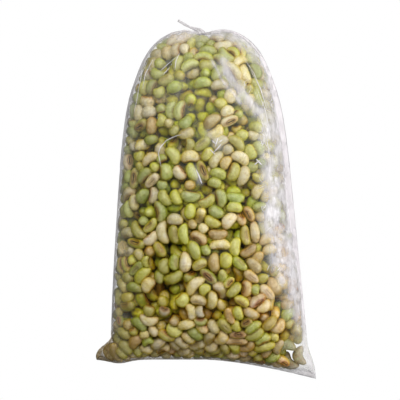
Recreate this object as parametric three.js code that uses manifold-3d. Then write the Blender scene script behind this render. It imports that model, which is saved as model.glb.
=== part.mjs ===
// A clear film bag packed full of shelled green cowpeas, lying on its back.
// Millimetres: +X across the bag, +Y from the bottom seal to the gathered neck, +Z up.
import * as THREE from "three";
import { mergeVertices } from "three/addons/utils/BufferGeometryUtils.js";
import Module from "manifold-3d";

// The filled bag.
const BAG_LENGTH = 188.5; // from the bottom seal to the neck
const LOW_HALF_WIDTH = 58; // half the width just above the corners
const SIDE_TAPER = 0.08; // how much narrower each side gets per millimetre of length
const FILL_HEIGHT = 46; // crown of the heap above the table
const FOLD_HEIGHT = 17; // where front and back film meet at the sides
const SEAL_HEIGHT = 5.5; // bottom seal above the table
const NECK_HEIGHT = 12; // neck above the table
const PRESSED_DEPTH = 3; // how far the round back would sink, were the table not there
const LEFT_FLARE = 8.4; // how far each bottom corner stands out
const RIGHT_FLARE = 3;
const FLARE_REACH = 15; // and how far up the side that shows
const LEFT_FLANGE = 2.6; // empty film along the side folds, narrower by the corners
const RIGHT_FLANGE = 4.6;
const CORNER_FLANGE = 0.45; // the share of it that is left there
const SEAL_LIP = 1.2; // empty film along the bottom seal
const RIGHT_SAG = 10.4; // how far the right end of the seal lies below its middle
const LEFT_SAG = 2.2;
const SHOULDER_RISE = 3.4; // how far the two shoulders stand past the neck
const NECK_DIP = 9; // half the width of the dip between them

// The film. Its wall is drawn thicker than the real 0.05 mm, so that it stays a sound solid.
const WALL = 0.6;
const FLANGE_HALF_THICKNESS = 0.5;
const HOLLOW_EDGE = 0.15;

// The neck turns to the left into a short tail, open at its tip.
const TAIL_ROUTE = [
  [-1.7, BAG_LENGTH - 0.5, NECK_HEIGHT],
  [-3, BAG_LENGTH + 1.6, NECK_HEIGHT - 0.8],
  [-5.6, BAG_LENGTH + 2.6, NECK_HEIGHT - 2.4],
  [-10, BAG_LENGTH + 3.8, NECK_HEIGHT - 4],
  [-15.4, BAG_LENGTH + 6.2, NECK_HEIGHT - 5],
];
const NECK_RADIUS = 2.2;
const TAIL_HALF_WIDTH = 1.9;
const TAIL_HALF_THICKNESS = 1.2;

// The beans of the heap are drawn larger than life, so that fewer cover it.
const BEAN = { length: 11.6, width: 7.8, thickness: 6.8, bend: 1.3 };
const HEAP_BEANS = 235;
const HEAP_BEAN_SIZE = 1.3;
const BEAN_SKIN = 1.9; // from the outside of the film to the outermost beans
const CORE_INSET = 5.4; // from the outside of the film to the heap's solid core
const SEED = 20240611;

// Beans that lie apart from the heap, out in the two bottom corners.
const LOOSE_BEANS = {
  corner_bean_right_upper: { at: [46.2, 8.4, 17], heading: 8, roll: 20, size: 0.95 },
  corner_bean_right_lower: { at: [48.4, 0.2, 9.6], heading: 130, roll: 0, size: 0.78 },
  corner_bean_right_outer: { at: [54.3, 3.1, 10.9], heading: 100, roll: 0, size: 0.78 },
  corner_bean_left: { at: [-53.4, 5.7, 10.2], heading: 84, roll: 0, size: 0.74 },
};
const LOOSE_CLEARANCE = 0.6;
const HEAP_CLEARANCE = 1; // from the inside of the film, for its coarse facets

// How finely the surfaces are cut.
const FILM_ROWS = 26;
const FILM_HALF_RING = 16; // points over the front, and as many over the back
const TAIL_ROWS = 9;
const CORE_ROWS = 8;
const CORE_HALF_RING = 7;

const wasm = await Module();
wasm.setup();

const vector = (x, y, z) => new THREE.Vector3(x, y, z);
const clamp01 = (v) => Math.min(1, Math.max(0, v));
const smooth = (v) => clamp01(v) ** 2 * (3 - 2 * clamp01(v));

// A small seeded generator, so that every build lays the same beans.
function seeded(seed) {
  let state = seed >>> 0;
  return () => {
    state = (Math.imul(state, 1664525) + 1013904223) >>> 0;
    return state / 4294967296;
  };
}

// How far the bag reaches to one side of its middle line, at a distance from the seal.
function halfWidth(y, side) {
  const straight = LOW_HALF_WIDTH - SIDE_TAPER * y;
  const shoulder = (1 - clamp01(y / BAG_LENGTH) ** 9) ** 0.42;
  const flare = side > 0 ? RIGHT_FLARE : LEFT_FLARE;
  return straight * shoulder + flare * smooth(1.3 * (1 - y / FLARE_REACH));
}

// The bag's middle line leans a little to the right at the seal.
function centreX(y) {
  return 2.6 * Math.exp(-y / 40) + 0.8 - 0.009 * y;
}

function foldHeight(y) {
  const low = (FOLD_HEIGHT - SEAL_HEIGHT) * Math.exp(-y / 18);
  const high = (FOLD_HEIGHT - NECK_HEIGHT) * smooth((y - 140) / 50);
  return FOLD_HEIGHT - low - high;
}

function crownHeight(y) {
  const edge = y < BAG_LENGTH / 2 ? SEAL_HEIGHT : NECK_HEIGHT;
  const rise = (1 - (1 - clamp01(y / 38)) ** 2.2) ** 0.6;
  const fall = (1 - clamp01((y - 95) / (BAG_LENGTH - 95)) ** 2.8) ** 0.5;
  return edge + (FILL_HEIGHT - edge) * rise * fall;
}

function backHeight(y) {
  const low = (SEAL_HEIGHT + PRESSED_DEPTH) * clamp01(1 - y / 20) ** 2.4;
  const high = (NECK_HEIGHT + PRESSED_DEPTH) * clamp01((y - 145) / (BAG_LENGTH - 145)) ** 2.2;
  return low + high - PRESSED_DEPTH;
}

// A point on the bag's surface, inset by so many millimetres. Here t runs from the seal to the
// neck, and the angle goes round the section from the right fold over the front to the left fold
// and back underneath.
function bagPoint(t, angle, inset) {
  const start = inset > 0 ? SEAL_LIP + inset : 0;
  const y = start + t * (BAG_LENGTH - inset - start);
  const across = Math.cos(angle);
  const half = halfWidth(y, across);
  const narrowing = 1 - (1 - CORNER_FLANGE) * Math.exp(-((y / 16) ** 2));
  const flange = (across > 0 ? RIGHT_FLANGE : LEFT_FLANGE) * narrowing;
  const body = (half * (LOW_HALF_WIDTH - flange - inset)) / LOW_HALF_WIDTH;
  const centre = centreX(y);
  const fold = foldHeight(y);

  // An inset shape still closes to an edge at both of its ends.
  const level = y - start * (1 - t) ** 30 + inset * t ** 30;
  const nearSeal = Math.exp(-level / 16);
  const front = Math.sin(angle) >= 0;
  const surface = front ? crownHeight(level) : backHeight(level);
  const full = Math.abs(surface - foldHeight(level));
  const squareness = (front ? 2.4 : 3.2) + 2 * nearSeal;
  const round = (1 - Math.abs(across) ** squareness) ** 0.6;
  const reach = Math.max(0, full - inset) * round;
  const z = front ? fold + reach : Math.max(fold - reach, inset);
  return { x: centre + across * body, y, z, centre, fold, half };
}

// The seal sags towards its ends, the shoulders stand past the neck, and the heap is uneven.
function settle(x, y, z) {
  const left = LEFT_SAG * Math.exp(-(((x + 50) / 8) ** 2));
  const sag = x > 0 ? RIGHT_SAG * (x / 62) ** 1.5 : left;
  const low = -sag * clamp01(1 - y / 46) ** 2;
  const shoulder = SHOULDER_RISE * (1 - Math.exp(-(((x + 1.5) / NECK_DIP) ** 2)));
  const high = shoulder * smooth((y - 158) / 30);
  const lumps = 0.028 * Math.sin(x / 15 + 0.8) * Math.sin(y / 21 + 0.3);
  return vector(x, y + low + high, z * (1 + lumps));
}

// The stations of one ring, over the front and back underneath. The first and last station of
// each half are the flange's tip.
function stations(halfCount) {
  const front = [{ angle: 0, tip: true }];
  for (let i = 0; i < halfCount - 2; i++) front.push({ angle: (Math.PI * i) / (halfCount - 3) });
  front.push({ angle: Math.PI, tip: true });
  const back = front.toReversed().map(({ angle, tip }) => ({ angle: -angle, tip, back: true }));
  return [...front, ...back];
}

// One ring of the bag. Outside, the flange stands out flat from the body. A ring that is inset
// follows the hollow in which the beans lie.
function bagRing(t, inset, halfCount) {
  const edge = inset > 0 ? HOLLOW_EDGE : FLANGE_HALF_THICKNESS;
  return stations(halfCount).map(({ angle, tip, back }) => {
    const p = bagPoint(t, angle, inset);
    const side = Math.cos(angle);
    if (tip) p.x = inset > 0 ? p.x + side * HOLLOW_EDGE : p.centre + side * p.half;
    const z = back ? Math.min(p.z, p.fold - edge) : Math.max(p.z, p.fold + edge);
    return settle(p.x, p.y, Math.max(z, inset));
  });
}

const tailCurve = new THREE.CatmullRomCurve3(TAIL_ROUTE.map((p) => vector(...p)));

function tailRing(share, inset) {
  const centre = tailCurve.getPoint(share);
  const ahead = tailCurve.getTangent(share);
  const across = ahead.clone().cross(vector(0, 0, 1)).normalize();
  const up = across.clone().cross(ahead);
  const flat = smooth((share - 0.3) / 0.6);
  const wide = THREE.MathUtils.lerp(NECK_RADIUS, TAIL_HALF_WIDTH, flat) - inset;
  const thick = THREE.MathUtils.lerp(NECK_RADIUS, TAIL_HALF_THICKNESS, flat) - inset;
  return stations(FILM_HALF_RING).map((station, i, ring) => {
    const turn = (2 * Math.PI * (i + 0.5)) / ring.length;
    const p = centre.clone();
    p.addScaledVector(across, Math.cos(turn) * wide);
    return p.addScaledVector(up, Math.sin(turn) * thick);
  });
}

// A geometry whose faces point out, whichever way round they were given.
function closedGeometry(points, faces) {
  let volume = 0;
  for (let i = 0; i < faces.length; i += 3) {
    const [a, b, c] = faces.slice(i, i + 3).map((k) => points[k]);
    volume += a.dot(b.clone().cross(c));
  }
  const positions = points.flatMap((p) => [p.x, p.y, p.z]);
  const geometry = new THREE.BufferGeometry();
  geometry.setAttribute("position", new THREE.Float32BufferAttribute(positions, 3));
  geometry.setIndex(volume < 0 ? faces.toReversed() : faces);
  return geometry;
}

// Joins rings of equal length into one closed surface, with flat ends.
function skinOf(rings) {
  const count = rings[0].length;
  const last = (rings.length - 1) * count;
  const faces = [];
  for (let start = 0; start < last; start += count)
    for (let i = 0; i < count; i++) {
      const a = start + i;
      const b = start + ((i + 1) % count);
      faces.push(a, b, a + count, b, b + count, a + count);
    }
  for (let i = 0; i < count / 2 - 1; i++) {
    const under = count - 1 - i;
    faces.push(i, under, i + 1, under, under - 1, i + 1);
    faces.push(last + i, last + i + 1, last + under);
    faces.push(last + under, last + i + 1, last + under - 1);
  }
  return closedGeometry(rings.flat(), faces);
}

// Rows from the seal up to just before the neck, closer together towards both ends.
function rowShares(rows) {
  return Array.from({ length: rows }, (_, i) => 0.5 - 0.5 * Math.cos((Math.PI * i) / rows));
}

function filmGeometry() {
  const outside = rowShares(FILM_ROWS).map((t) => bagRing(t, 0, FILM_HALF_RING));
  const inside = rowShares(FILM_ROWS).map((t) => bagRing(t, WALL, FILM_HALF_RING));
  for (let i = 0; i < TAIL_ROWS; i++) {
    outside.push(tailRing(i / (TAIL_ROWS - 1), 0));
    inside.push(tailRing(i / (TAIL_ROWS - 1), WALL));
  }
  return skinOf([...outside, ...inside.reverse()]);
}

function coreGeometry() {
  return skinOf(rowShares(CORE_ROWS).map((t) => bagRing(t, CORE_INSET, CORE_HALF_RING)));
}

function solidOf(geometry) {
  const bare = new THREE.BufferGeometry();
  bare.setAttribute("position", geometry.attributes.position);
  bare.setIndex(geometry.index);
  const merged = mergeVertices(bare, 1e-4);
  return new wasm.Manifold(
    new wasm.Mesh({
      numProp: 3,
      vertProperties: merged.attributes.position.array,
      triVerts: new Uint32Array(merged.index.array),
    }),
  );
}

function geometryOf(solid) {
  const mesh = solid.getMesh();
  const geometry = new THREE.BufferGeometry();
  geometry.setAttribute("position", new THREE.BufferAttribute(mesh.vertProperties, 3));
  geometry.setIndex(new THREE.BufferAttribute(mesh.triVerts, 1));
  return geometry;
}

// One bean along its own X, bent like a kidney with its hollow towards -Y.
function beanGeometry(sides, rings, size) {
  const station = (s, angle, fullness) =>
    vector(
      (s * BEAN.length) / 2,
      (fullness * Math.cos(angle) * BEAN.width) / 2 + BEAN.bend * (1 - 2.2 * s * s),
      (fullness * Math.sin(angle) * BEAN.thickness) / 2,
    ).multiplyScalar(size);
  const points = [station(-1, 0, 0)];
  for (let r = 1; r <= rings; r++) {
    const s = -Math.cos((Math.PI * r) / (rings + 1));
    const fullness = (1 - Math.abs(s) ** 2.4) ** 0.5;
    for (let i = 0; i < sides; i++) points.push(station(s, (2 * Math.PI * i) / sides, fullness));
  }
  points.push(station(1, 0, 0));
  const end = points.length - 1;
  const faces = [];
  for (let i = 0; i < sides; i++) {
    const next = (i + 1) % sides;
    faces.push(0, 1 + next, 1 + i);
    for (let a = 1; a < end - sides; a += sides)
      faces.push(a + i, a + next, a + sides + i, a + next, a + sides + next, a + sides + i);
    faces.push(end, end - sides + i, end - sides + next);
  }
  return closedGeometry(points, faces);
}

function looseMatrix({ at, heading, roll }) {
  const { degToRad } = THREE.MathUtils;
  const turn = new THREE.Euler(degToRad(roll), 0, degToRad(heading), "ZYX");
  return new THREE.Matrix4().makeRotationFromEuler(turn).setPosition(...at);
}

// Three points along a bean that stand for it where beans are kept apart.
function spineOf(matrix, size) {
  return [-0.28, 0, 0.28].map((s) => vector(s * BEAN.length * size, 0, 0).applyMatrix4(matrix));
}

function gapBetween(spine, other) {
  return Math.min(...spine.flatMap((a) => other.map((b) => a.distanceTo(b))));
}

function skinPoint(t, angle) {
  const p = bagPoint(t, angle, BEAN_SKIN);
  return settle(p.x, p.y, p.z);
}

// Draws a place for a bean against the film, with a chance in proportion to the area there, and
// lays the bean along the film at a random heading and roll.
function drawSite(draw) {
  const step = 1e-3;
  for (;;) {
    const t = draw();
    const angle = 2 * Math.PI * draw();
    const at = skinPoint(t, angle);
    const along = skinPoint(t + step, angle).sub(at);
    const round = skinPoint(t, angle + step).sub(at);
    const outward = along.cross(round);
    if (draw() * 0.016 > outward.length()) continue;
    outward.normalize();
    const heading = vector(draw() - 0.5, draw() - 0.5, draw() - 0.5).cross(outward).normalize();
    const roll = new THREE.Quaternion().setFromAxisAngle(heading, (draw() - 0.5) * 1.4);
    const up = outward.clone().applyQuaternion(roll);
    const turn = new THREE.Matrix4().makeBasis(heading, up.clone().cross(heading), up);
    return { at, outward, turn };
  }
}

function matrixAt({ at, outward, turn }, depth) {
  return turn.clone().setPosition(at.clone().addScaledVector(outward, -depth));
}

// Spreads the heap's beans evenly: each is the one of several draws that lies furthest from the
// beans before it.
function spreadSites(draw) {
  const spines = Object.values(LOOSE_BEANS).map((b) => spineOf(looseMatrix(b), b.size));
  const sites = [];
  for (let n = 0; n < HEAP_BEANS; n++) {
    let best = { gap: 0 };
    for (let k = 0; k < 40; k++) {
      const site = drawSite(draw);
      const spine = spineOf(matrixAt(site, 2.5 * HEAP_BEAN_SIZE), HEAP_BEAN_SIZE);
      const gap = Math.min(...spines.map((other) => gapBetween(spine, other)));
      if (gap > best.gap) best = { gap, site, spine };
    }
    sites.push(best.site);
    spines.push(best.spine);
  }
  return sites;
}

// Whether a point lies within the bag's shape, inset by so much.
function within(point, inset) {
  let y = point.y;
  for (let i = 0; i < 6; i++) y += point.y - settle(point.x, y, 0).y;
  const z = point.z / settle(point.x, y, 1).z;
  const start = SEAL_LIP + inset;
  const t = (y - start) / (BAG_LENGTH - inset - start);
  if (t <= 0 || t >= 1) return false;
  const right = bagPoint(t, 0, inset);
  const left = bagPoint(t, Math.PI, inset);
  const edge = point.x > right.centre ? right : left;
  const across = (point.x - edge.centre) / Math.abs(edge.x - edge.centre);
  if (Math.abs(across) >= 1) return false;
  const angle = Math.acos(across);
  return z < bagPoint(t, angle, inset).z && z > bagPoint(t, -angle, inset).z;
}

function fits(geometry) {
  const { position } = geometry.attributes;
  for (let i = 0; i < position.count; i++)
    if (!within(vector(0, 0, 0).fromBufferAttribute(position, i), WALL + HEAP_CLEARANCE)) return false;
  return true;
}

// The heap: a solid core, with the beans that lie against the film standing out of it.
function heapGeometry() {
  const draw = seeded(SEED);
  const solids = [solidOf(coreGeometry())];
  for (const site of spreadSites(draw)) {
    const size = HEAP_BEAN_SIZE * (0.93 + 0.14 * draw());
    for (let depth = 2.5 * size; depth < 6.5; depth += 0.4) {
      const bean = beanGeometry(5, 2, size).applyMatrix4(matrixAt(site, depth));
      if (!fits(bean)) continue;
      solids.push(solidOf(bean));
      break;
    }
  }
  const rooms = Object.values(LOOSE_BEANS).map((bean) => {
    const size = bean.size + (2 * LOOSE_CLEARANCE) / BEAN.thickness;
    return solidOf(beanGeometry(8, 4, size).applyMatrix4(looseMatrix(bean)));
  });
  const heap = wasm.Manifold.union(solids).subtract(wasm.Manifold.union(rooms));
  const bodies = heap.decompose().sort((a, b) => b.volume() - a.volume());
  return geometryOf(bodies[0]);
}

const filmMaterial = new THREE.MeshStandardMaterial({
  color: 0xe9ecea,
  roughness: 0.18,
  metalness: 0,
  transparent: true,
  opacity: 0.25,
});
const heapMaterial = new THREE.MeshStandardMaterial({
  color: 0xa9a45c,
  roughness: 0.55,
  metalness: 0,
});
const looseMaterial = new THREE.MeshStandardMaterial({
  color: 0xa89a5a,
  roughness: 0.55,
  metalness: 0,
});

const bag = new THREE.Group();

function addPiece(name, geometry, material) {
  const mesh = new THREE.Mesh(geometry, material);
  mesh.name = name;
  bag.add(mesh);
}

addPiece("bag_film", filmGeometry(), filmMaterial);
addPiece("bean_heap", heapGeometry(), heapMaterial);
for (const [name, bean] of Object.entries(LOOSE_BEANS)) {
  const geometry = beanGeometry(10, 7, bean.size).applyMatrix4(looseMatrix(bean));
  addPiece(name, geometry, looseMaterial);
}

// The origin is on the table, under the middle of the bag.
const extent = new THREE.Box3().setFromObject(bag);
bag.position.set(
  -(extent.min.x + extent.max.x) / 2,
  -(extent.min.y + extent.max.y) / 2,
  -extent.min.z,
);

export default bag;
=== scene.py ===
# A clear film bag packed full of shelled green cowpeas, lying on its back on a white ground.
# Lengths are worked out in millimetres from the middle of the bag's bottom seal, and every mesh is
# then placed in the part's own frame, in metres.
import math

import bmesh
import bpy
import numpy as np
from mathutils import Matrix, Vector
from mathutils.bvhtree import BVHTree


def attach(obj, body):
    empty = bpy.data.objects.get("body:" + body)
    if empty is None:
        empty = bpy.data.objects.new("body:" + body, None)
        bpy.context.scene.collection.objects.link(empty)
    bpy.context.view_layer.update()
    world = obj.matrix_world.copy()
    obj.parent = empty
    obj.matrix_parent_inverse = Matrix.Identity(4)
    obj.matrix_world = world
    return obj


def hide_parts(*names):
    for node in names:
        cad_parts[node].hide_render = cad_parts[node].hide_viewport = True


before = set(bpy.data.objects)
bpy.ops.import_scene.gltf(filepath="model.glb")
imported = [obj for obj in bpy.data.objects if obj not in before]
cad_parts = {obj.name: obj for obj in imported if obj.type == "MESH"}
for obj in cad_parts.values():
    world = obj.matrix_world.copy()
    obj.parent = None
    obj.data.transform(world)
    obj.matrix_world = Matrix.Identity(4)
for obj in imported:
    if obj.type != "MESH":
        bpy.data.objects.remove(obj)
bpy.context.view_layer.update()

MM = 0.001
SEAL_MIDDLE = np.array([-0.70, -92.71, 0.0])  # where the seal's middle lies in the part's frame

# The filled bag, as the solid has it.
BAG_LENGTH = 188.5  # from the bottom seal to the neck
LOW_HALF_WIDTH = 58.0  # half the width just above the corners
SIDE_TAPER = 0.08  # how much narrower each side gets per millimetre of length
FILL_HEIGHT = 46.0  # crown of the heap above the table
FOLD_HEIGHT = 17.0  # where front and back film meet at the sides
SEAL_HEIGHT = 5.5  # bottom seal above the table
NECK_HEIGHT = 12.0  # neck above the table
PRESSED_DEPTH = 3.0  # how far the round back would sink, were the table not there
LEFT_FLARE = 8.4  # how far each bottom corner stands out
RIGHT_FLARE = 3.0
FLARE_REACH = 15.0  # and how far up the side that shows
SEAL_LIP = 1.2  # empty film along the bottom seal
RIGHT_SAG = 10.4  # how far the right end of the seal lies below its middle
LEFT_SAG = 2.2
SAG_REACH = 46.0  # how far up the bag the sag is felt
SHOULDER_RISE = 3.4  # how far the two shoulders stand past the neck
NECK_DIP = 9.0  # half the width of the dip between them
CROWN_START = 38.0  # the crown has its full height from here
CROWN_END = 95.0  # to here
BACK_START = 20.0  # the back lies on the table from here
BACK_END = 145.0  # to here

# How square and how full the bag's curves are.
SHOULDER_CURVE = (9, 0.42)
CROWN_RISE_CURVE = (2.2, 0.6)
CROWN_FALL_CURVE = (2.8, 0.5)
FRONT_SQUARENESS = 2.4
BACK_SQUARENESS = 3.2
SECTION_FULLNESS = 0.6

# The neck turns to the left into a short tail.
TAIL_ROUTE = np.array([
    [-1.7, BAG_LENGTH - 0.5, NECK_HEIGHT],
    [-3.0, BAG_LENGTH + 1.8, NECK_HEIGHT - 0.6],
    [-6.0, BAG_LENGTH + 3.2, NECK_HEIGHT - 1.6],
    [-10.4, BAG_LENGTH + 5.0, NECK_HEIGHT - 2.6],
    [-15.6, BAG_LENGTH + 8.3, NECK_HEIGHT - 3.4],
])
TAIL_RINGS = 24
NECK_RADIUS = 2.2
TIP_HALF_WIDTH = 0.65
TIP_HALF_THICKNESS = 0.35

# The room for the beans, as a grid of distances to the film.
ROOM_INSET = 0.15
ROOM_STEP = 2.5
ROOM_LOW = np.array([-68.0, -14.0, -4.0])
ROOM_HIGH = np.array([68.0, 196.0, 52.0])

# The packing. Each bean is a rod with round ends, and rods push each other apart.
SEED = 20240611
BEAN_COUNT = 1830  # how many places the room is shared into
SITES_HIGH = (68.0, 200.0, 52.0)
SITE_JITTER = 0.3
SITE_DEPTH = 1.2  # how far inside the film a first place lies
ROD_RADIUS = 3.08
ROD_HALF_SPINE = 2.05  # half the rod's length without its round ends
SHORT_SHARE = 0.2  # the share of beans that are short
ROUNDS = 420
FIRST_SIZE = 0.55  # rods start at this share of their size
GROWTH = 0.45
GROWING_SHARE = 0.55  # and are full grown after this share of the rounds
PUSH = 0.42  # how much of an overlap one round takes away
FILM_PUSH = 0.8  # and how much of the part of a bean that is past the film
FILM_PULL = 0.03  # how far a bean near the film drifts to it in one round
FILM_PULL_REACH = 6  # and how far from the film that still happens
SETTLING = 0.011  # how far a bean drifts outward in one round
SEAL_PRESS = 1.1  # how far the lowest beans press into the seal
SEAL_MARGIN = 0.3  # how much clear film is left between them and its edge
TABLE_MARGIN = 0.3
BACK_FILM = 0.15  # the lowest that a bean's skin lies, on the film of the back
GAP_SHARE = 0.21  # the share of places next to the film left empty, so deeper beans show
GAP_REACH = 6.0  # a bean's middle counts as next to the film down to this depth
GAPS_ABOVE = 25  # places are left empty only above this height
GAPS_FROM = 14  # and further up the bag than this
CLEARED_CORNER = (47, 12)  # no bean of the heap lies both right of this place and below it
# Beans that lie deep below the film are drawn in stronger colour, a painted shade for the gaps.
DEEP_FROM = 4.5  # a bean starts to count as deep this far below the film
DEEP_REACH = 4  # and counts in full this much further down

# The beans' forms: length, width, thickness, bend, bluntness of the ends, and how much fuller one
# end is.
BEAN_FORMS = [
    (10.0, 6.8, 6.0, 0.40, 2.5, 0.03),
    (10.8, 6.5, 5.8, 0.65, 2.4, -0.04),
    (9.2, 7.1, 6.2, 0.25, 2.7, 0.06),
    (11.0, 6.5, 5.8, 0.80, 2.6, 0.0),
    (8.7, 7.0, 6.3, 0.20, 2.3, -0.08),
    (9.8, 6.9, 6.0, 0.50, 3.0, 0.05),
    (10.4, 6.8, 6.1, 0.35, 2.3, 0.12),
]
HEAP_SIDES = 12
HEAP_RINGS = 8
BEND_FALL = 2.2  # how steeply a bent bean falls away to its ends
HOLLOW_DEPTH = 0.3  # how deep the dent at the eye is, and how much more for each mm of bend
HOLLOW_OF_BEND = 0.4
HOLLOW_REACH = 0.4

# Beans that lie apart from the heap, out in the two bottom corners.
LOOSE_BEANS = {
    "corner_bean_right_upper": dict(at=(46.2, 8.4, 17), heading=8, roll=20, size=0.95, tone=0.1),
    "corner_bean_right_lower": dict(at=(49.2, -0.5, 9.6), heading=130, roll=0, size=0.9, tone=0.95),
    "corner_bean_right_outer": dict(at=(55.0, 2.8, 10.9), heading=100, roll=0, size=0.88, tone=0.8),
    "corner_bean_left": dict(at=(-54.6, 5.3, 10.2), heading=84, roll=0, size=0.84, tone=1.0),
}
LOOSE_FORM = (12.8, 7.8, 7.2, 1.35, 2.8, 0.0)
LOOSE_SIDES = 20
LOOSE_RINGS = 14
LOOSE_ROD_RADIUS = 3.5
LOOSE_HALF_SPINE = 2.6
LOOSE_RIPENESS = 0.8

# The kinds of beans: the share of each at the seal's left end, at its right end and at the neck,
# how widely its hue spreads and how far it is shifted to green.
BEAN_KINDS = {
    "green_beans": dict(left=0.17, right=0.09, neck=0.25, spread=0.7, shift=-0.014),
    "yellow_beans": dict(left=0.47, right=0.30, neck=0.46, spread=1.0, shift=-0.001),
    "cream_beans": dict(left=0.26, right=0.48, neck=0.25, spread=0.4, shift=0.006),
    "tan_beans": dict(left=0.09, right=0.13, neck=0.02, spread=0.4, shift=0.002),
}
# The pale and the full skin, the flushed ends and the eye, as they look on a screen.
BEAN_COLOURS = {
    "green_beans": [(212, 221, 118), (164, 182, 0), (210, 198, 64), (172, 114, 10)],
    "yellow_beans": [(229, 224, 112), (196, 185, 0), (226, 202, 66), (190, 118, 12)],
    "cream_beans": [(255, 241, 206), (238, 212, 112), (232, 190, 116), (190, 116, 30)],
    "tan_beans": [(238, 214, 146), (208, 166, 60), (206, 154, 76), (164, 92, 14)],
    "corner_beans": [(206, 214, 140), (168, 128, 56), (196, 166, 104), (96, 54, 14)],
}
EYE_FIELD = (208, 158, 24)
EYE_RING = (112, 58, 0)
EYE_SLIT = (56, 28, 0)
EYE_HALF_WIDTH = 1.25
EYE_HALF_LENGTH = 2.7

# The film.
WALL = 0.1
FILM_ROWS = 215
FRONT_STATIONS = 121
FLANGE_STEPS = 4  # how many steps of the mesh cross a side fold
HOLLOW_EDGE = 0.15  # half the gap between front and back film along the folds
LIP = 2.0  # how far up from the seal the film opens
FOLD_DROOP = 1.6  # how far the left side fold hangs
SEAL_DROOP = 3.0  # how far the seal's edge turns down, apart from its right corner
LOWEST_FILM = 0.02
BEAN_CLEARANCE = 0.2
PROBE_START = 2.0  # how far outside the film the search for beans starts
PROBE_REACH = 5.4
OPEN_ROOM = 3.4  # the room where the search meets no bean
SINK_ROUNDS = 200
SINK_STEP = 0.022
MOST_RISE = 1.4  # how far the film can rise over a bean
MOST_SINK = 2.6  # and how far it can sink between beans
# The brown of the painted shade in the film's left corner and along its seal.
PAINTED_SHADE_BROWN = (190, 164, 104)
CLEAR_TINT = (0.93, 0.93, 0.76, 1)
HAZY_TINT = (0.97, 0.94, 0.96, 1)
DULL_TINT = (0.84, 0.80, 0.82, 1)

# Broad pleats of the front film: a line of points seen from above, its half width, how high it
# stands and how white it is.
PLEATS = [
    ([(10.5, 171), (15, 161), (23.5, 149.5), (32, 142)], 3.2, 1.3, 0.36),
    ([(4, 172), (10, 160), (20, 148)], 1.1, 0.5, 0.25),
    ([(2, 130), (6, 126), (9, 122)], 3.0, 0.4, 0.16),
    ([(-6, 110), (-3, 103)], 1.8, 0.5, 0.22),
    ([(-38, 164), (-44, 150), (-47, 132), (-49, 112)], 1.2, 0.4, 0.12),
    ([(40, 160), (44, 146), (46, 128), (47, 108)], 1.4, 0.5, 0.14),
]

# Sharp creases: a line of points seen from above, and how broad it is.
SHARP_CREASES = [
    ([(-24.8, 111.3), (-26.5, 119.2), (-25.4, 122.5), (-22, 126.5), (-17, 128.8), (-12.5, 130)], 0.26),
    ([(-32.6, 174), (-36.6, 164), (-38.6, 153), (-40.4, 143)], 0.3),
    ([(-30, 173), (-34.2, 165), (-35.8, 156)], 0.24),
    ([(-14.6, 176.6), (-16.6, 172), (-17.2, 167)], 0.24),
    ([(-26, 166), (-21, 170.5), (-15.4, 175)], 0.22),
    ([(-24, 164), (-20, 168.5)], 0.2),
    ([(-5, 110), (-3.4, 106), (-1.8, 101.8)], 0.4),
    ([(21.4, 175), (28, 165), (32, 155), (35, 145)], 0.18),
    ([(26, 166.6), (31.6, 156.6), (34, 148.6)], 0.16),
    ([(29.4, 156.6), (34, 145), (36.2, 135), (37.4, 125)], 0.18),
    ([(31.6, 139.6), (35, 128.6), (36.8, 117.4), (38, 106)], 0.18),
    ([(3.8, 126.4), (6.2, 124.2)], 0.34),
    ([(7.2, 127.6), (5.6, 122.6)], 0.3),
    ([(9, 124.2), (5, 119.8)], 0.34),
    ([(2.8, 121.4), (5.4, 118.6)], 0.3),
    ([(10, 127), (7.8, 125.4)], 0.26),
    ([(29, 116), (32, 112.8)], 0.4),
    ([(28, 112.8), (30.8, 115.2)], 0.34),
]
# The loose creases, drawn white, are painted glints.
LOOSE_CREASES = 60  # short ones scattered over the slack film on the right
CREASE_HEIGHT = 0.2
CREASE_STEP = 0.7

# How far the white painted glare comes in from the right fold, at places up the bag.
FOG_PLACES = [0, 25, 32, 40, 60, 90, 110, 135, 145, 160, 172, 185]
FOG_REACH = [2, 4, 8, 12, 14, 17, 15, 11, 8, 6, 5, 4]

# Table, light and camera, in metres.
SHEET_LEVEL = -0.0004
TABLE_LEVEL = -0.0006
TABLE_HALF = 2
HOLE_INSET = 19  # how far inside the bag's outline the sheet's hole ends, in millimetres
TABLE_TONE = 0.55
SOFT_BOXES = {
    "overhead_soft_box": dict(place=(-0.03, 0.45, 0.96), aim=(0, 0, 0), size=(0.75, 0.75), strength=4.4),
    "right_soft_box": dict(place=(0.92, 0.10, 0.50), aim=(0, 0, 0), size=(1.0, 0.5), strength=1.9),
    "low_right_soft_box": dict(place=(0.90, 0.10, 0.14), aim=(0, 0, 0.02), size=(1.1, 0.2), strength=5.4),
    "near_soft_box": dict(place=(0.0, -0.90, 0.50), aim=(0, 0, 0), size=(1.0, 0.5), strength=0.8),
    "far_soft_box": dict(place=(-0.15, 0.95, 0.22), aim=(0, 0.05, 0.02), size=(0.9, 0.3), strength=1.7),
}
ROOM_LIGHT = 0.05
CAMERA_PLACE = (-0.0036, 0.0001, 1.40)
SENSOR_WIDTH = 36
PICTURE_WIDTH = 0.2297  # what the picture shows from side to side
PICTURE_LEVEL = 0.020  # at this height


def clamp01(v):
    return np.clip(v, 0, 1)


def smooth(v):
    c = clamp01(v)
    return c * c * (3 - 2 * c)


def rounded_off(share, squareness, fullness):
    """Falls from 1 to 0 on a round curve while the share grows from 0 to 1."""
    return np.maximum(0, 1 - share**squareness) ** fullness


def around(x, y, middle, half):
    """1 at a place seen from above, and falling off round it."""
    return np.exp(-(((x - middle[0]) / half[0]) ** 2 + ((y - middle[1]) / half[1]) ** 2))


def unit(vectors, least=0.0):
    return vectors / np.maximum(np.linalg.norm(vectors, axis=-1, keepdims=True), least)


def in_frame(points):
    return (np.asarray(points) + SEAL_MIDDLE) * MM


# The bag's shape


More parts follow.
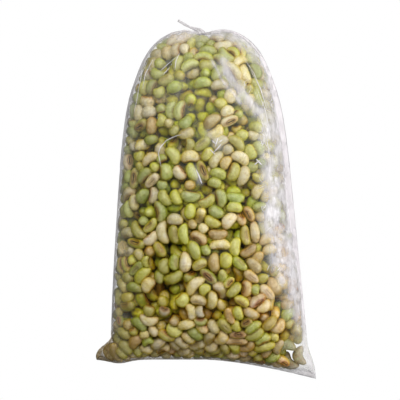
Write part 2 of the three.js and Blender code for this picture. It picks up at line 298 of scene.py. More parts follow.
def half_width(y, side):
    straight = LOW_HALF_WIDTH - SIDE_TAPER * y
    shoulder = rounded_off(clamp01(y / BAG_LENGTH), *SHOULDER_CURVE)
    flare = np.where(side > 0, RIGHT_FLARE, LEFT_FLARE)
    return straight * shoulder + flare * smooth(1.3 * (1 - y / FLARE_REACH))


def empty_edge(y, side):
    """How wide the empty film along a side fold is."""
    right = 1.0 + 3.2 * smooth((y - 40) / 50) - 1.6 * smooth((y - 150) / 30)
    left = 0.5 + 0.5 * smooth((y - 60) / 70)
    return np.where(side > 0, right, left)


def centre_x(y):
    """The bag leans a little to the left from its seal up."""
    return 2.6 * np.exp(-y / 40) + 0.8 - 0.009 * y


def fold_height(y):
    low = (FOLD_HEIGHT - SEAL_HEIGHT) * np.exp(-y / 18)
    high = (FOLD_HEIGHT - NECK_HEIGHT) * smooth((y - 140) / 50)
    return FOLD_HEIGHT - low - high


def crown_height(y):
    edge = np.where(y < BAG_LENGTH / 2, SEAL_HEIGHT, NECK_HEIGHT)
    rise = rounded_off(1 - clamp01(y / CROWN_START), *CROWN_RISE_CURVE)
    fall = rounded_off(clamp01((y - CROWN_END) / (BAG_LENGTH - CROWN_END)), *CROWN_FALL_CURVE)
    return edge + (FILL_HEIGHT - edge) * rise * fall


def back_height(y):
    low = (SEAL_HEIGHT + PRESSED_DEPTH) * clamp01(1 - y / BACK_START) ** 2.4
    rise = clamp01((y - BACK_END) / (BAG_LENGTH - BACK_END)) ** 2.2
    return low + (NECK_HEIGHT + PRESSED_DEPTH) * rise - PRESSED_DEPTH


def bag_section(t, across, front, inset):
    """Points of the bag's surface: t from the seal to the neck, across from -1 to 1."""
    start = SEAL_LIP + inset if inset > 0 else 0
    y = start + t * (BAG_LENGTH - inset - start)
    half = half_width(y, across)
    body = half * (LOW_HALF_WIDTH - empty_edge(y, across) - inset) / LOW_HALF_WIDTH
    centre = centre_x(y)
    fold = fold_height(y)
    level = y - start * (1 - t) ** 30 + inset * t**30
    surface = np.where(front, crown_height(level), back_height(level))
    full = np.abs(surface - fold_height(level))
    squareness = np.where(front, FRONT_SQUARENESS, BACK_SQUARENESS) + 2 * np.exp(-level / 16)
    reach = np.maximum(0, full - inset) * rounded_off(np.abs(across), squareness, SECTION_FULLNESS)
    z = np.where(front, fold + reach, np.maximum(fold - reach, inset))
    return dict(x=centre + across * body, y=y + 0 * across, z=z, centre=centre, fold=fold)


def settle(x, y, z):
    """Lets the seal sag, raises the two shoulders and adds soft lumps."""
    left = LEFT_SAG * np.exp(-(((x + 50) / 8) ** 2))
    sag = np.where(x > 0, RIGHT_SAG * (np.maximum(x, 0) / 62) ** 1.5, left)
    low = -sag * clamp01(1 - y / SAG_REACH) ** 2
    shoulder = SHOULDER_RISE * (1 - np.exp(-(((x + 1.5) / NECK_DIP) ** 2)))
    high = shoulder * smooth((y - 158) / 30)
    lumps = 0.028 * np.sin(x / 15 + 0.8) * np.sin(y / 21 + 0.3)
    return np.stack([x, y + low + high, z * (1 + lumps)], -1)


def is_within(points, inset):
    """Whether each point lies inside the bag, at least an inset away from its surface."""
    x, y, z = points[..., 0], points[..., 1].copy(), points[..., 2]
    for _ in range(6):
        y += points[..., 1] - settle(x, y, z)[..., 1]
    z = z / settle(x, y, np.ones_like(z))[..., 2]
    start = SEAL_LIP + inset
    t = (y - start) / (BAG_LENGTH - inset - start)
    safe = np.clip(t, 1e-4, 1 - 1e-4)
    right = bag_section(safe, np.ones_like(x), True, inset)
    left = bag_section(safe, -np.ones_like(x), True, inset)
    edge = np.where(x > right["centre"], right["x"], left["x"])
    across = (x - right["centre"]) / np.maximum(np.abs(edge - right["centre"]), 1e-3)
    inner = np.clip(across, -1, 1)
    top = bag_section(safe, inner, True, inset)["z"]
    under = bag_section(safe, inner, False, inset)["z"]
    return (t > 0) & (t < 1) & (np.abs(across) < 1) & (z < top) & (z > under)


# The room for the beans


def room_shell():
    t = 0.5 - 0.5 * np.cos(np.linspace(0, math.pi, 90))
    across = np.cos(np.linspace(0, math.pi, 50))
    rows = []
    for front in (True, False):
        s = bag_section(t[:, None], across[None, :], front, ROOM_INSET)
        rows.append(settle(s["x"], s["y"], s["z"]))
    points = np.concatenate([r.reshape(-1, 3) for r in rows])
    n = len(across)
    i, j = np.meshgrid(np.arange(len(t) - 1), np.arange(n - 1), indexing="ij")
    a = (i * n + j).ravel()
    quads = np.stack([a, a + 1, a + n + 1, a + n], -1)
    quads = np.concatenate([quads, quads + len(t) * n])
    return BVHTree.FromPolygons(points.tolist(), quads.tolist())


def distance_room():
    """At each node of a grid, the distance inside the film and how that changes along x, y and z."""
    shell = room_shell()
    count = np.ceil((ROOM_HIGH - ROOM_LOW) / ROOM_STEP).astype(int) + 1
    axes = [ROOM_LOW[k] + ROOM_STEP * np.arange(count[k]) for k in range(3)]
    nodes = np.stack(np.meshgrid(*axes, indexing="ij"), -1)
    away = np.array([shell.find_nearest(p)[3] for p in nodes.reshape(-1, 3).tolist()])
    depth = away.reshape(nodes.shape[:3]) * np.where(is_within(nodes, ROOM_INSET), 1, -1)
    inward = np.stack(np.gradient(depth, ROOM_STEP), -1)
    return np.concatenate([depth[..., None], inward], -1)


def look_up(room, points):
    """Distance inside the film, and the direction inward, at each point."""
    at = np.clip((points - ROOM_LOW) / ROOM_STEP, 0, np.array(room.shape[:3]) - 1.001)
    base = at.astype(int)
    share = at - base
    value = 0
    for corner in range(8):
        step = np.array([corner & 1, corner >> 1 & 1, corner >> 2 & 1])
        weight = np.prod(np.where(step, share, 1 - share), -1)
        i, j, k = (base + step).T
        value = value + weight[:, None] * room[i, j, k]
    return value[:, 0], unit(value[:, 1:], 1e-6)


# The packing


def loose_turn(bean):
    heading = Matrix.Rotation(math.radians(bean["heading"]), 3, "Z")
    return heading @ Matrix.Rotation(math.radians(bean["roll"]), 3, "X")


def touching_pairs(ends, reach):
    middle = ends.mean(1).astype(np.float32)
    square = (middle**2).sum(1)
    apart = square[:, None] + square[None, :] - 2 * middle @ middle.T
    allowed = (reach[:, None] + reach[None, :]).astype(np.float32)
    return np.nonzero(np.triu(apart < allowed**2, 1))


def contacts(ends, girth, i, j):
    """How deep rods i and j overlap, the direction between them, and where along each."""
    p, d = ends[i, 0], ends[i, 1] - ends[i, 0]
    q, e = ends[j, 0], ends[j, 1] - ends[j, 0]
    r = p - q
    dd, ee, de = (d * d).sum(1), (e * e).sum(1), (d * e).sum(1)
    dr, er = (d * r).sum(1), (e * r).sum(1)
    s = clamp01((de * er - dr * ee) / np.maximum(dd * ee - de**2, 1e-6))
    u = clamp01((de * s + er) / np.maximum(ee, 1e-6))
    s = clamp01((de * u - dr) / np.maximum(dd, 1e-6))
    between = p + d * s[:, None] - q - e * u[:, None]
    gap = np.linalg.norm(between, axis=1)
    return girth[i] + girth[j] - gap, between / np.maximum(gap, 1e-6)[:, None], s, u


def spread(push, index, amount, share):
    """Adds a push on a rod, given at a share of its length, to its two ends."""
    scale = 1 / ((1 - share) ** 2 + share**2)
    for end, weight in ((0, (1 - share) * scale), (1, share * scale)):
        for axis in range(3):
            push[:, end, axis] += np.bincount(index, amount[:, axis] * weight, len(push))


def outer_drift(ends):
    """The beans' own weight, which spreads the heap towards the seal, the neck and both sides."""
    x, y = ends[..., 0], ends[..., 1] / BAG_LENGTH
    along = np.where(y > 0.5, smooth((y - 0.55) * 3), -smooth((0.45 - y) * 3))
    return np.stack([np.sign(x) * smooth((np.abs(x) - 15) / 25), along, 0 * x], -1)


def first_rods(rng, room):
    """Rods on a loose lattice that fills the room, each with a random length and direction."""
    volume = (room[..., 0] > 0).sum() * ROOM_STEP**3
    step = (volume / BEAN_COUNT) ** (1 / 3)
    axes = [np.arange(ROOM_LOW[k] + step / 2, SITES_HIGH[k], step) for k in range(3)]
    sites = np.stack(np.meshgrid(*axes, indexing="ij"), -1).reshape(-1, 3)
    sites += rng.uniform(-SITE_JITTER, SITE_JITTER, sites.shape) * step
    sites = sites[look_up(room, sites)[0] > SITE_DEPTH]
    count = len(sites)
    short = rng.random(count) < SHORT_SHARE
    girth = ROD_RADIUS * np.where(short, 0.88, 1.02) * rng.normal(1, 0.06, count).clip(0.84, 1.14)
    spine = ROD_HALF_SPINE * np.where(short, 0.5, 1.1) * rng.normal(1, 0.14, count).clip(0.6, 1.35)
    along = unit(rng.normal(size=(count, 3)))
    return sites, along, girth, spine


def press_apart(room, sites, along, girth, spine, free):
    """Grows the rods to their size while they push each other apart and stay inside the film."""
    rounds = ROUNDS
    ends = np.stack([sites - along * spine[:, None], sites + along * spine[:, None]], 1)
    for turn in range(rounds):
        growth = min(1, FIRST_SIZE + GROWTH * turn / (GROWING_SHARE * rounds))
        if turn % 6 == 0:
            i, j = touching_pairs(ends, growth * (girth + spine) + 0.6)
        deep, away, s, u = contacts(ends, girth * growth, i, j)
        hit = deep > 0
        amount = away[hit] * (0.5 * deep[hit])[:, None]
        push = np.zeros_like(ends)
        spread(push, i[hit], amount, s[hit])
        spread(push, j[hit], -amount, u[hit])
        ends += PUSH * push * free[:, None, None]
        depth, inward = look_up(room, ends.reshape(-1, 3))
        need = np.repeat(girth * growth, 2) - depth
        pull = np.where(need > -FILM_PULL_REACH, -FILM_PULL, 0)
        move = np.where(need > 0, FILM_PUSH * need, pull)[:, None] * inward
        ends += move.reshape(ends.shape) * free[:, None, None]
        ends += SETTLING * outer_drift(ends) * free[:, None, None]
        middle = ends.mean(1)
        along = unit(ends[:, 1] - ends[:, 0])
        half = along * (spine * growth)[:, None]
        ends = np.stack([middle - half, middle + half], 1)
    return ends.mean(1), along


def pack_beans():
    """The heap's beans: where each lies, its direction, its girth and length as shares of a middling
    one's, the way out to the film and how far below the film it lies."""
    rng = np.random.default_rng(SEED)
    room = distance_room()
    sites, along, girth, spine = first_rods(rng, room)
    count = len(sites)

    # The corner beans lie still, and the heap makes room for them.
    loose = LOOSE_BEANS.values()
    sites = np.vstack([sites, [bean["at"] for bean in loose]])
    along = np.vstack([along, [np.array(loose_turn(bean).col[0]) for bean in loose]])
    girth = np.append(girth, [LOOSE_ROD_RADIUS * bean["size"] for bean in loose])
    spine = np.append(spine, [LOOSE_HALF_SPINE * bean["size"] for bean in loose])
    free = np.arange(len(sites)) < count
    middle, along = press_apart(room, sites, along, girth, spine, free)

    lowest = middle[:, 2] - np.abs(along[:, 2]) * spine - 1.14 * girth
    middle[:, 2] += np.maximum(TABLE_MARGIN - lowest, 0)
    kept = free & ~((middle[:, 0] > CLEARED_CORNER[0]) & (middle[:, 1] < CLEARED_CORNER[1]))
    shallow = look_up(room, middle)[0] < GAP_REACH
    on_front = (middle[:, 2] > GAPS_ABOVE) & (middle[:, 1] > GAPS_FROM)
    kept &= ~(shallow & on_front & (rng.random(len(middle)) < GAP_SHARE))
    middle, along, girth, spine = middle[kept], along[kept], girth[kept], spine[kept]

    # The lowest beans press into the seal, as far as its edge.
    middle[:, 1] -= SEAL_PRESS * (1 - smooth((middle[:, 1] - 3) / 14))
    lowest = middle[:, 1] - np.abs(along[:, 1]) * spine - 1.32 * girth
    seal = settle(middle[:, 0], 0 * lowest, 0 * lowest)[:, 1]
    middle[:, 1] += np.maximum(seal + SEAL_MARGIN - lowest, 0)
    below_film, inward = look_up(room, middle)
    return middle, along, girth / ROD_RADIUS, spine / ROD_HALF_SPINE, -inward, below_film


# One bean lies along X, bent like a kidney with its hollow and its eye towards -Y


def keep_on_points(mesh, name, values):
    """Stores a number or a vector for each point of a mesh."""
    values = np.asarray(values, np.float32)
    kind, field = ("FLOAT_VECTOR", "vector") if values.ndim == 2 else ("FLOAT", "value")
    mesh.attributes.new(name, kind, "POINT").data.foreach_set(field, values.ravel())


def bean_mesh(name, sides, rings, form):
    """A bean's mesh in metres. Each point also keeps its own place on the bean, in millimetres."""
    length, width, thickness, bend, blunt, lean = form
    tip_y = bend * (1 - BEND_FALL)
    points = [(-length / 2, tip_y, 0)]
    for r in range(1, rings + 1):
        s = -math.cos(math.pi * r / (rings + 1))
        full = (1 - abs(s) ** blunt) ** 0.5 * (1 + lean * s)
        for k in range(sides):
            turn = 2 * math.pi * k / sides
            y = full * math.cos(turn) * width / 2
            hollow = max(0, -math.cos(turn)) ** 2 * math.exp(-((s / HOLLOW_REACH) ** 2))
            y += bend * (1 - BEND_FALL * s * s) + (HOLLOW_DEPTH + HOLLOW_OF_BEND * bend) * hollow
            points.append((s * length / 2, y, full * math.sin(turn) * thickness / 2))
    points.append((length / 2, tip_y, 0))
    end = len(points) - 1
    faces = []
    for k in range(sides):
        n = (k + 1) % sides
        faces.append((0, 1 + n, 1 + k))
        for a in range(1, end - sides, sides):
            faces.append((a + k, a + n, a + sides + n, a + sides + k))
        faces.append((end, end - sides + k, end - sides + n))
    mesh = bpy.data.meshes.new(name)
    mesh.from_pydata([tuple(c * MM for c in p) for p in points], [], faces)
    keep_on_points(mesh, "bean_place", points)
    mesh.shade_smooth()
    return mesh


def bean_shapes():
    shapes = bpy.data.collections.new("bean_shapes")
    for k, form in enumerate(BEAN_FORMS):
        mesh = bean_mesh(f"bean_shape_{k}", HEAP_SIDES, HEAP_RINGS, form)
        shapes.objects.link(bpy.data.objects.new(mesh.name, mesh))
    return shapes


# The heap, as Geometry Nodes that set a bean on each point


def add_input(tree, name, kind, value=None):
    socket = tree.interface.new_socket(name, in_out="INPUT", socket_type="NodeSocket" + kind)
    if value is not None:
        socket.default_value = value


def set_input(modifier, name, value):
    items = modifier.node_group.interface.items_tree
    socket = next(s for s in items if s.name == name and s.in_out == "INPUT")
    modifier[socket.identifier] = value


def heap_tree():
    """Sets a bean of a random shape on each point of a heap, turned as the point says."""
    tree = bpy.data.node_groups.new("Bean Heap", "GeometryNodeTree")
    add_input(tree, "Geometry", "Geometry")
    add_input(tree, "Shapes", "Collection")
    add_input(tree, "Shape Count", "Int", len(BEAN_FORMS))
    add_input(tree, "Bean Size", "Float", 1.02)
    add_input(tree, "Size Spread", "Float", 0.04)
    add_input(tree, "Seed", "Int", SEED)
    add_input(tree, "Skin", "Material")
    tree.interface.new_socket("Geometry", in_out="OUTPUT", socket_type="NodeSocketGeometry")
    new, link = tree.nodes.new, tree.links.new
    given = new("NodeGroupInput").outputs

    def wire(value, socket):
        if isinstance(value, bpy.types.NodeSocket):
            link(value, socket)
        else:
            socket.default_value = value

    def math_node(operation, a, b):
        node = new("ShaderNodeMath")
        node.operation = operation
        wire(a, node.inputs[0])
        wire(b, node.inputs[1])
        return node.outputs[0]

    def random(kind, low, high, seed_step):
        node = new("FunctionNodeRandomValue")
        node.data_type = kind
        by_name = {s.name: s for s in node.inputs if s.enabled}
        wire(low, by_name["Min"])
        wire(high, by_name["Max"])
        wire(math_node("ADD", given["Seed"], seed_step), by_name["Seed"])
        return next(s for s in node.outputs if s.enabled)

    def stored(name):
        node = new("GeometryNodeInputNamedAttribute")
        node.data_type = "FLOAT_VECTOR"
        node.inputs["Name"].default_value = name
        return next(s for s in node.outputs if s.enabled and s.name == "Attribute")

    shapes = new("GeometryNodeCollectionInfo")
    link(given["Shapes"], shapes.inputs["Collection"])
    shapes.inputs["Separate Children"].default_value = True
    shapes.inputs["Reset Children"].default_value = True

    turn = new("FunctionNodeEulerToRotation")
    link(stored("turn"), turn.inputs[0])
    low = math_node("SUBTRACT", 1.0, given["Size Spread"])
    high = math_node("ADD", 1.0, given["Size Spread"])
    own_size = math_node("MULTIPLY", given["Bean Size"], random("FLOAT", low, high, 1))
    size = new("ShaderNodeVectorMath")
    size.operation = "SCALE"
    link(stored("fullness"), size.inputs[0])
    link(own_size, size.inputs["Scale"])

    on_points = new("GeometryNodeInstanceOnPoints")
    link(given["Geometry"], on_points.inputs["Points"])
    link(shapes.outputs[0], on_points.inputs["Instance"])
    on_points.inputs["Pick Instance"].default_value = True
    last = math_node("SUBTRACT", given["Shape Count"], 1.0)
    link(random("INT", 0, last, 2), on_points.inputs["Instance Index"])
    link(turn.outputs[0], on_points.inputs["Rotation"])
    link(size.outputs[0], on_points.inputs["Scale"])

    # Each bean keeps its own random number for the skin.
    keep = new("GeometryNodeStoreNamedAttribute")
    keep.data_type = "FLOAT"
    keep.domain = "INSTANCE"
    keep.inputs["Name"].default_value = "ripeness"
    link(on_points.outputs[0], keep.inputs["Geometry"])
    link(random("FLOAT", 0.0, 1.0, 4), next(s for s in keep.inputs if s.enabled and s.name == "Value"))

    real = new("GeometryNodeRealizeInstances")
    link(keep.outputs[0], real.inputs[0])
    skin = new("GeometryNodeSetMaterial")
    link(real.outputs[0], skin.inputs["Geometry"])
    link(given["Skin"], skin.inputs["Material"])
    link(skin.outputs[0], new("NodeGroupOutput").inputs[0])
    return tree


def plain_mesh(obj):
    """Replaces an object that has modifiers by the mesh they make."""
    scene = bpy.context.scene
    scene.collection.objects.link(obj)
    seen = obj.evaluated_get(bpy.context.evaluated_depsgraph_get())
    made = bpy.data.meshes.new_from_object(seen)
    scene.collection.objects.unlink(obj)
    name = obj.name
    bpy.data.objects.remove(obj)
    made.name = name
    return shown(name, made)


def shown(name, mesh):
    """An object in the scene with this mesh."""
    piece = bpy.data.objects.new(name, mesh)
    bpy.context.scene.collection.objects.link(piece)
    return piece


def heap_piece(name, tree, shapes, beans, skin, seed):
    mesh = bpy.data.meshes.new(name)
    mesh.from_pydata(in_frame(beans["middle"]).tolist(), [], [])
    for key in ("turn", "fullness", "tone", "hue", "deep"):
        keep_on_points(mesh, key, beans[key])
    heap = bpy.data.objects.new(name, mesh)
    modifier = heap.modifiers.new("beans", "NODES")
    modifier.node_group = tree
    set_input(modifier, "Shapes", shapes)
    set_input(modifier, "Seed", seed)
    set_input(modifier, "Skin", skin)
    heap = plain_mesh(heap)

    # The lowest beans lie pressed flat on the film under them.
    places = np.empty(3 * len(heap.data.vertices), np.float32)
    heap.data.vertices.foreach_get("co", places)
    places[2::3] = np.maximum(places[2::3], BACK_FILM * MM)
    heap.data.vertices.foreach_set("co", places)
    heap.data.update()
    return heap


def bean_axes(along, roll):
    """The turn that lays a bean's length along a direction, rolled about it."""
    x = Vector(along)
    y = x.orthogonal().normalized()
    z = x.cross(y)
    turned = y * math.cos(roll) + z * math.sin(roll)
    return Matrix((x, turned, x.cross(turned))).transposed()


def bean_turns(rng, middle, along, outward):
    """A turn for each bean. Most lie in profile against the film, and few show their eye."""
    turns = []
    for place, direction, out in zip(middle, along, outward):
        eyes = 0.34 - 0.24 * smooth((place[1] - 70) / 60)
        profile = rng.choice([0.15, -0.35, -0.8, 0.85], p=[0.56 - eyes, 0.26, 0.18, eyes])
        rolls = rng.uniform(0, 2 * math.pi, 6)
        facing = [-np.array(bean_axes(direction, roll).col[1]) @ out for roll in rolls]
        roll = rolls[int(np.argmin(np.abs(np.array(facing) - profile)))]
        turns.append(tuple(bean_axes(direction, roll).to_euler("XYZ")))
    return np.array(turns)


def bean_kinds(rng, middle):
    """Which kind each bean is. The mix changes from left to right and from the seal to the neck."""
    left, right, neck = (of_kinds(key) for key in ("left", "right", "neck"))
    toward_right = smooth((middle[:, 0] + 30) / 60)[:, None]
    toward_neck = smooth(1.7 * clamp01(middle[:, 1] / BAG_LENGTH) - 0.2)[:, None]
    low = left + (right - left) * toward_right
    shares = low + (neck - low) * toward_neck
    steps = np.cumsum(shares / shares.sum(1, keepdims=True), 1)
    return (rng.random(len(middle))[:, None] > steps).sum(1)


def of_kinds(key):
    return np.array([kind[key] for kind in BEAN_KINDS.values()])


def bean_hues(rng, middle, kinds):
    """The beans are warmer in hue low in the bag and greener higher up, and the cream ones low on
    the right are pinker than the rest."""
    greener = rng.normal(-0.003, 0.009, len(middle)) + 0.016 * smooth((middle[:, 1] - 40) / 35)
    hue = 0.5 + greener * of_kinds("spread")[kinds] + of_kinds("shift")[kinds]
    low_right = smooth(middle[:, 0] / 30) * smooth((120 - middle[:, 1]) / 50)
    return hue - 0.016 * low_right * (kinds == list(BEAN_KINDS).index("cream_beans"))


def heap_pieces():
    """The heap, one piece for each kind of bean."""
    middle, along, girth, spine, outward, below_film = pack_beans()
    rng = np.random.default_rng(SEED + 1)
    beans = dict(middle=middle, turn=bean_turns(rng, middle, along, outward))
    beans["fullness"] = np.stack([(girth + spine) / 2, girth, girth], -1)
    # Painted light: on top of a random spread of their own, the beans are paler towards the neck and
    # fuller in colour low in the bag. This stands in for the glare and haze of the film over the upper
    # bag and for the stronger shade low in it.
    paler_towards_neck = 0.70 * clamp01(middle[:, 1] / BAG_LENGTH)
    beans["tone"] = clamp01(1.0 - paler_towards_neck + rng.normal(0, 0.25, len(middle)))
    kinds = bean_kinds(rng, middle)
    beans["hue"] = bean_hues(rng, middle, kinds)
    # Painted shade: how deep below the film each bean lies, which makes its colour stronger.
    beans["deep"] = smooth((below_film - DEEP_FROM) / DEEP_REACH)
    tree = heap_tree()
    shapes = bean_shapes()
    pieces = []
    for k, name in enumerate(BEAN_KINDS):
        own = {key: value[kinds == k] for key, value in beans.items()}
        skin = bean_skin(name, BEAN_COLOURS[name])
        pieces.append(heap_piece(name, tree, shapes, own, skin, SEED + 10 * k))
    return pieces


def corner_bean(name, bean, skin):
    mesh = bean_mesh(name + "_skin", LOOSE_SIDES, LOOSE_RINGS, LOOSE_FORM)
    mesh.transform(Matrix.Diagonal((bean["size"],) * 3).to_4x4())
    mesh.transform(Matrix.Translation(in_frame(bean["at"])) @ loose_turn(bean).to_4x4())
    looks = dict(tone=bean["tone"], ripeness=LOOSE_RIPENESS, hue=0.5, deep=0.0)
    for key, value in looks.items():
        keep_on_points(mesh, key, np.full(len(mesh.vertices), value))
    mesh.materials.append(skin)
    return shown(name + "_skin", mesh)


# Materials


def linear(r, g, b):
    """A colour given as it looks on a screen, 0 to 255, in linear light."""
    return tuple(((c / 255 + 0.055) / 1.055) ** 2.4 for c in (r, g, b)) + (1.0,)


class Shader:
    """A material and a few short ways to wire its nodes."""

    def __init__(self, name):
        self.material = bpy.data.materials.new(name)
        self.material.use_nodes = True
        self.tree = self.material.node_tree
        self.skin = self.tree.nodes["Principled BSDF"]

    def node(self, kind, **settings):
        made = self.tree.nodes.new("ShaderNode" + kind)
        for key, value in settings.items():
            setattr(made, key, value)
        return made

    def wire(self, value, socket):
        if isinstance(value, bpy.types.NodeSocket):
            self.tree.links.new(value, socket)
        else:
            socket.default_value = value

    def math(self, operation, a, b=0.0, clamp=False):
        made = self.node("Math", operation=operation, use_clamp=clamp)
        self.wire(a, made.inputs[0])
        self.wire(b, made.inputs[1])
        return made.outputs[0]

    def times(self, *values):
        product = values[0]
        for value in values[1:]:
            product = self.math("MULTIPLY", product, value)
        return product

    def ramp(self, value, low, high, to_low=0.0, to_high=1.0):
        made = self.node("MapRange", interpolation_type="SMOOTHSTEP")
        names = ("Value", "From Min", "From Max", "To Min", "To Max")
        for name, given in zip(names, (value, low, high, to_low, to_high)):
            self.wire(given, made.inputs[name])
        return made.outputs["Result"]

    def mix(self, share, a, b):
        made = self.node("Mix", data_type="RGBA")
        self.wire(share, made.inputs[0])
        self.wire(a, made.inputs[6])
        self.wire(b, made.inputs[7])
        return made.outputs[2]

    def attribute(self, name, output="Fac"):
        return self.node("Attribute", attribute_name=name).outputs[output]

    def noise(self, vector, scale, detail=2.0, roughness=0.5):
        made = self.node("TexNoise")
        self.wire(vector, made.inputs["Vector"])
        made.inputs["Scale"].default_value = scale
        made.inputs["Detail"].default_value = detail
        made.inputs["Roughness"].default_value = roughness
        return made.outputs["Fac"]

    def facing(self):
        """0 where the surface faces the eye, 1 where it is seen edge on."""
        made = self.node("LayerWeight")
        made.inputs["Blend"].default_value = 0.5
        return made.outputs["Facing"]

    def bump(self, height, strength, distance):
        made = self.node("Bump")
        made.inputs["Strength"].default_value = strength
        made.inputs["Distance"].default_value = distance * MM
        self.wire(height, made.inputs["Height"])
        self.wire(made.outputs[0], self.skin.inputs["Normal"])


def bean_skin(name, colours):
    """A bean's skin: its colour runs from pale to full with the bean's tone, the ends are flushed,
    and the hollow side has the eye, a brown ring round a pale field with a dark slit. Each bean has
    its own brightness and hue. Painted shade: a bean is more strongly coloured deep in the heap, and
    darker and more strongly coloured where it is seen edge on, while it is paler where it faces the eye."""
    pale, full, flushed, eye = (linear(*colour) for colour in colours)
    s = Shader(name)
    place = s.attribute("bean_place", "Vector")
    tone = s.attribute("tone")
    ripe = s.attribute("ripeness")
    parts = s.node("SeparateXYZ")
    s.wire(place, parts.inputs[0])
    x, y, z = parts.outputs

    # Each bean has its own patch of the mottling.
    shift = s.node("CombineXYZ")
    s.wire(s.times(tone, 90.0), shift.inputs[0])
    s.wire(s.times(ripe, 70.0), shift.inputs[1])
    own = s.node("VectorMath", operation="ADD")
    s.wire(place, own.inputs[0])
    s.wire(shift.outputs[0], own.inputs[1])
    cloud = s.noise(own.outputs[0], 0.28, 2.0)
    grain = s.noise(own.outputs[0], 1.7, 3.0, 0.6)
    spots = s.noise(own.outputs[0], 0.75, 3.0, 0.7)
    body = s.mix(s.math("ADD", s.times(tone, 0.9), s.ramp(cloud, 0.32, 0.68, -0.35, 0.32)), pale, full)
    ends = s.ramp(s.math("ABSOLUTE", x), 1.8, 5.2)
    body = s.mix(s.times(ends, s.ramp(ripe, 0.15, 0.9, 0.05, 0.6)), body, flushed)
    body = s.mix(s.ramp(grain, 0.45, 0.75, 0.0, 0.4), body, flushed)
    body = s.mix(s.ramp(spots, 0.54, 0.74, 0.0, 0.5), body, eye)
    body = s.mix(s.ramp(spots, 0.46, 0.3, 0.0, 0.35), body, pale)

    # The eye, with a wavy outline.
    across = s.math("POWER", s.math("DIVIDE", z, EYE_HALF_WIDTH), 2.0)
    along = s.math("POWER", s.math("DIVIDE", x, EYE_HALF_LENGTH), 2.0)
    wobble = s.times(s.math("SUBTRACT", grain, 0.5), 0.25)
    out = s.math("ADD", s.math("SQRT", s.math("ADD", across, along)), wobble)
    hollow_side = s.ramp(y, -0.2, -1.2)
    strength = s.ramp(ripe, 0.3, 0.7, 0.25, 1.0)
    stain = s.times(s.ramp(out, 2.1, 1.0), hollow_side)
    field = s.times(s.ramp(out, 0.95, 0.75), hollow_side)
    ring = s.times(s.ramp(out, 0.66, 0.85), s.ramp(out, 1.15, 0.95), hollow_side)
    slit_width = s.ramp(s.math("ABSOLUTE", z), 0.42, 0.2)
    slit_length = s.ramp(s.math("ABSOLUTE", x), 2.1, 1.6)
    slit = s.times(slit_width, slit_length, hollow_side)
    body = s.mix(s.times(stain, strength, 0.7), body, eye)
    body = s.mix(s.times(field, strength, 0.6), body, linear(*EYE_FIELD))
    body = s.mix(s.times(ring, strength, 0.85), body, linear(*EYE_RING))
    body = s.mix(s.times(slit, strength), body, linear(*EYE_SLIT))

    # Brightness, strength of colour and hue. Painted shade and sheen: each bean is drawn darker and
    # more strongly coloured where it is seen edge on, and paler where it faces the eye, standing in
    # for its shaded flanks and its lit top.
    lottery = s.node("TexWhiteNoise", noise_dimensions="3D")
    s.wire(shift.outputs[0], lottery.inputs["Vector"])
    own_value = s.ramp(lottery.outputs["Value"], 0.0, 1.0, 0.70, 1.11)
    rim = s.facing()
    shade = s.node("HueSaturation")
    s.wire(s.times(own_value, s.ramp(rim, 0.2, 0.9, 1.03, 0.86)), shade.inputs["Value"])
    # Painted shade: beans deep in the heap are drawn in stronger colour, standing in for the shade in the
    # gaps between the beans at the film.
    deeper = s.ramp(s.attribute("deep"), 0.0, 1.0, 1.0, 1.35)
    s.wire(s.times(s.ramp(rim, 0.1, 0.85, 0.88, 1.36), deeper), shade.inputs["Saturation"])
    s.wire(s.attribute("hue"), shade.inputs["Hue"])
    s.wire(body, shade.inputs["Color"])
    s.wire(shade.outputs[0], s.skin.inputs["Base Color"])

    # The skin shines a little, and the eye is matt.
    matt = s.times(stain, strength)
    s.wire(s.ramp(cloud, 0.2, 0.8, 0.36, 0.52), s.skin.inputs["Roughness"])
    s.wire(s.ramp(matt, 0.0, 1.0, 0.85, 0.3), s.skin.inputs["Specular IOR Level"])
    s.wire(s.ramp(matt, 0.0, 1.0, 0.8, 0.1), s.skin.inputs["Coat Weight"])
    s.skin.inputs["Coat Roughness"].default_value = 0.38
    s.bump(s.math("SUBTRACT", s.times(spots, 1.6), s.times(slit, 0.8)), 0.85, 0.8)
    return s.material


